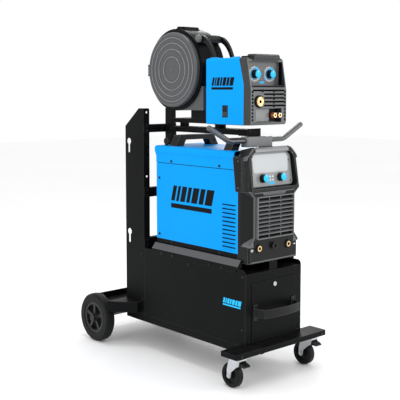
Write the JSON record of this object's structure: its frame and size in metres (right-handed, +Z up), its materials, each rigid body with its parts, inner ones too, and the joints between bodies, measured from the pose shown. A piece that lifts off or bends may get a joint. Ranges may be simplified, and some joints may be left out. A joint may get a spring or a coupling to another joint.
{
  "type": "mig welder on cart",
  "caption": "Welding power source and swivelling wire feeder with spool drum, standing on a cabinet trolley with drawer, casters and rear wheels.",
  "frame": {"origin": "on the floor, under the middle of the overall box", "axes": "+Z up, -Y towards the operator at the drawer front, +X to the right seen from the front"},
  "size_m": [0.574, 1.068, 1.452],
  "materials": {
    "powder_black": "satin textured powder coat",
    "sheet_blue": "semi-gloss paint",
    "handle_satin": "satin",
    "bezel_black": "fine textured moulding",
    "grille_grey": "fine textured moulding",
    "panel_light": "satin film",
    "feeder_grey": "fine textured moulding",
    "lid_grey": "textured moulding",
    "drum_black": "moulded",
    "knob_black": "moulded with coloured cap",
    "brass": "machined",
    "copper_wire": "wound wire",
    "zinc": "bright zinc plate",
    "bolt_steel": "dark plated",
    "tyre_rubber": "matt",
    "caster_rubber": "matt",
    "wheel_plastic": "moulded",
    "handle_black": "fine textured moulding",
    "electronics": "raw"
  },
  "bodies": {
    "trolley": {"base_pan": "powder_black", "front_beam": "powder_black", "cabinet_panels": "powder_black", "front_frame": "powder_black", "seat_rails": "powder_black", "left_upright": "powder_black", "centre_frame": "powder_black", "top_beam": "powder_black", "handle_box": "handle_satin", "push_handle": "handle_satin", "axle_wings": "powder_black", "bottle_platform": "powder_black", "rear_axle": "zinc", "trolley_bolts": "bolt_steel", "caster_plates": "zinc", "drawer_slides": "powder_black", "ps_base": "powder_black", "ps_covers": "sheet_blue", "ps_rear_panel": "powder_black", "ps_bezel": "bezel_black", "ps_grille": "grille_grey", "ps_display": "panel_light", "ps_sockets": "brass", "ps_handles": "handle_black", "ps_inverter": "electronics", "ps_fasteners": "bolt_steel"},
    "drawer": {"drawer_tray": "powder_black", "drawer_front": "powder_black", "drawer_handle": "handle_black"},
    "lock": {"lock_barrel": "zinc"},
    "wheel_left": {"tyre_left": "tyre_rubber", "rim_left": "wheel_plastic"},
    "wheel_right": {"tyre_right": "tyre_rubber", "rim_right": "wheel_plastic"},
    "caster_left": {"caster_fork_left": "zinc"},
    "caster_right": {"caster_fork_right": "zinc"},
    "caster_left_wheel": {"caster_wheel_left": "caster_rubber"},
    "caster_right_wheel": {"caster_wheel_right": "caster_rubber"},
    "caster_left_brake": {"brake_pedal_left": "handle_black"},
    "caster_right_brake": {"brake_pedal_right": "handle_black"},
    "source_knob_left": {"ps_knob_left": "knob_black"},
    "source_knob_right": {"ps_knob_right": "knob_black"},
    "fan": {"ps_fan": "bezel_black"},
    "mains_switch": {"ps_switch": "handle_black"},
    "feeder": {"feeder_chassis": "powder_black", "feeder_cover": "sheet_blue", "feeder_bezel": "feeder_grey", "feeder_connectors": "brass", "spool_housing": "drum_black", "feeder_handle": "handle_black", "wire_drive": "bolt_steel"},
    "feeder_left_door": {"feeder_door": "sheet_blue"},
    "left_door_latch": {"door_latch": "handle_black"},
    "dial_left": {"feeder_knob_left": "knob_black"},
    "dial_right": {"feeder_knob_right": "knob_black"},
    "drum_lid": {"spool_lid": "lid_grey"},
    "spool": {"wire_spool": "copper_wire"},
    "driven_roll": {"feed_roll": "bolt_steel"},
    "swing_arm": {"pressure_arm": "bolt_steel"},
    "idle_roll": {"pressure_roll": "bolt_steel"}
  },
  "joints": [
    {"name": "drawer_slide", "type": "slide", "parent": "trolley", "child": "drawer", "axis": [0, -1, 0], "range_m": [0, 0.42]},
    {"name": "lock_turn", "type": "hinge", "parent": "drawer", "child": "lock", "pos_m": [0.001, -0.456, 0.388], "axis": [0, 1, 0], "range_deg": [-90, 0]},
    {"name": "wheel_left_spin", "type": "hinge", "parent": "trolley", "child": "wheel_left", "pos_m": [-0.255, 0.422, 0.112], "axis": [1, 0, 0], "continuous": true},
    {"name": "caster_left_swivel", "type": "hinge", "parent": "trolley", "child": "caster_left", "pos_m": [-0.213, -0.483, 0.12], "axis": [0, 0, 1], "continuous": true},
    {"name": "caster_left_spin", "type": "hinge", "parent": "caster_left", "child": "caster_left_wheel", "pos_m": [-0.213, -0.452, 0.05], "axis": [1, 0, 0], "continuous": true},
    {"name": "caster_left_brake", "type": "hinge", "parent": "caster_left", "child": "caster_left_brake", "pos_m": [-0.213, -0.499, 0.106], "axis": [1, 0, 0], "range_deg": [0, 10]},
    {"name": "source_knob_left_turn", "type": "hinge", "parent": "trolley", "child": "source_knob_left", "pos_m": [-0.051, -0.44864, 0.82], "axis": [0, -0.9945, 0.1045], "range_deg": [-135, 135]},
    {"name": "dial_left_turn", "type": "hinge", "parent": "feeder", "child": "dial_left", "pos_m": [-0.043, -0.396, 1.238], "axis": [0, -1, 0], "range_deg": [-135, 135]},
    {"name": "wheel_right_spin", "type": "hinge", "parent": "trolley", "child": "wheel_right", "pos_m": [0.255, 0.422, 0.112], "axis": [1, 0, 0], "continuous": true},
    {"name": "caster_right_swivel", "type": "hinge", "parent": "trolley", "child": "caster_right", "pos_m": [0.213, -0.483, 0.12], "axis": [0, 0, 1], "continuous": true},
    {"name": "caster_right_spin", "type": "hinge", "parent": "caster_right", "child": "caster_right_wheel", "pos_m": [0.213, -0.452, 0.05], "axis": [1, 0, 0], "continuous": true},
    {"name": "caster_right_brake", "type": "hinge", "parent": "caster_right", "child": "caster_right_brake", "pos_m": [0.213, -0.499, 0.106], "axis": [1, 0, 0], "range_deg": [0, 10]},
    {"name": "source_knob_right_turn", "type": "hinge", "parent": "trolley", "child": "source_knob_right", "pos_m": [0.051, -0.44864, 0.82], "axis": [0, -0.9945, 0.1045], "range_deg": [-135, 135]},
    {"name": "dial_right_turn", "type": "hinge", "parent": "feeder", "child": "dial_right", "pos_m": [0.043, -0.396, 1.238], "axis": [0, -1, 0], "range_deg": [-135, 135]},
    {"name": "fan_spin", "type": "hinge", "parent": "trolley", "child": "fan", "pos_m": [0, 0.084, 0.7], "axis": [0, 1, 0], "continuous": true},
    {"name": "mains_switch_rock", "type": "hinge", "parent": "trolley", "child": "mains_switch", "pos_m": [0.095, 0.1075, 0.85], "axis": [1, 0, 0], "range_deg": [0, 18]},
    {"name": "feeder_swivel", "type": "hinge", "parent": "trolley", "child": "feeder", "pos_m": [0, -0.15, 1.02], "axis": [0, 0, 1], "range_deg": [-90, 90]},
    {"name": "feeder_door_hinge", "type": "hinge", "parent": "feeder", "child": "feeder_left_door", "pos_m": [-0.09075, -0.282, 1.3055], "axis": [0, 1, 0], "range_deg": [0, 100]},
    {"name": "door_latch_pull", "type": "hinge", "parent": "feeder_left_door", "child": "left_door_latch", "pos_m": [-0.1005, -0.2875, 1.103], "axis": [0, 1, 0], "range_deg": [0, 35], "stiffness_Nm_per_rad": 0.02},
    {"name": "drum_lid_hinge", "type": "hinge", "parent": "feeder", "child": "drum_lid", "pos_m": [-0.0915, 0.226, 1.262], "axis": [0, 0, -1], "range_deg": [0, 110]},
    {"name": "spool_spin", "type": "hinge", "parent": "feeder", "child": "spool", "pos_m": [-0.02, 0.051, 1.262], "axis": [1, 0, 0], "continuous": true},
    {"name": "driven_roll_spin", "type": "hinge", "parent": "feeder", "child": "driven_roll", "pos_m": [-0.058, -0.282, 1.1124], "axis": [1, 0, 0], "continuous": true},
    {"name": "swing_arm_lift", "type": "hinge", "parent": "feeder", "child": "swing_arm", "pos_m": [-0.05, -0.24, 1.148], "axis": [-1, 0, 0], "range_deg": [0, 50]},
    {"name": "idle_roll_spin", "type": "hinge", "parent": "swing_arm", "child": "idle_roll", "pos_m": [-0.058, -0.282, 1.1436], "axis": [1, 0, 0], "continuous": true}
  ],
  "couplings": [
    {"joint": "idle_roll_spin", "follows": "driven_roll_spin", "ratio": -1}
  ]
}
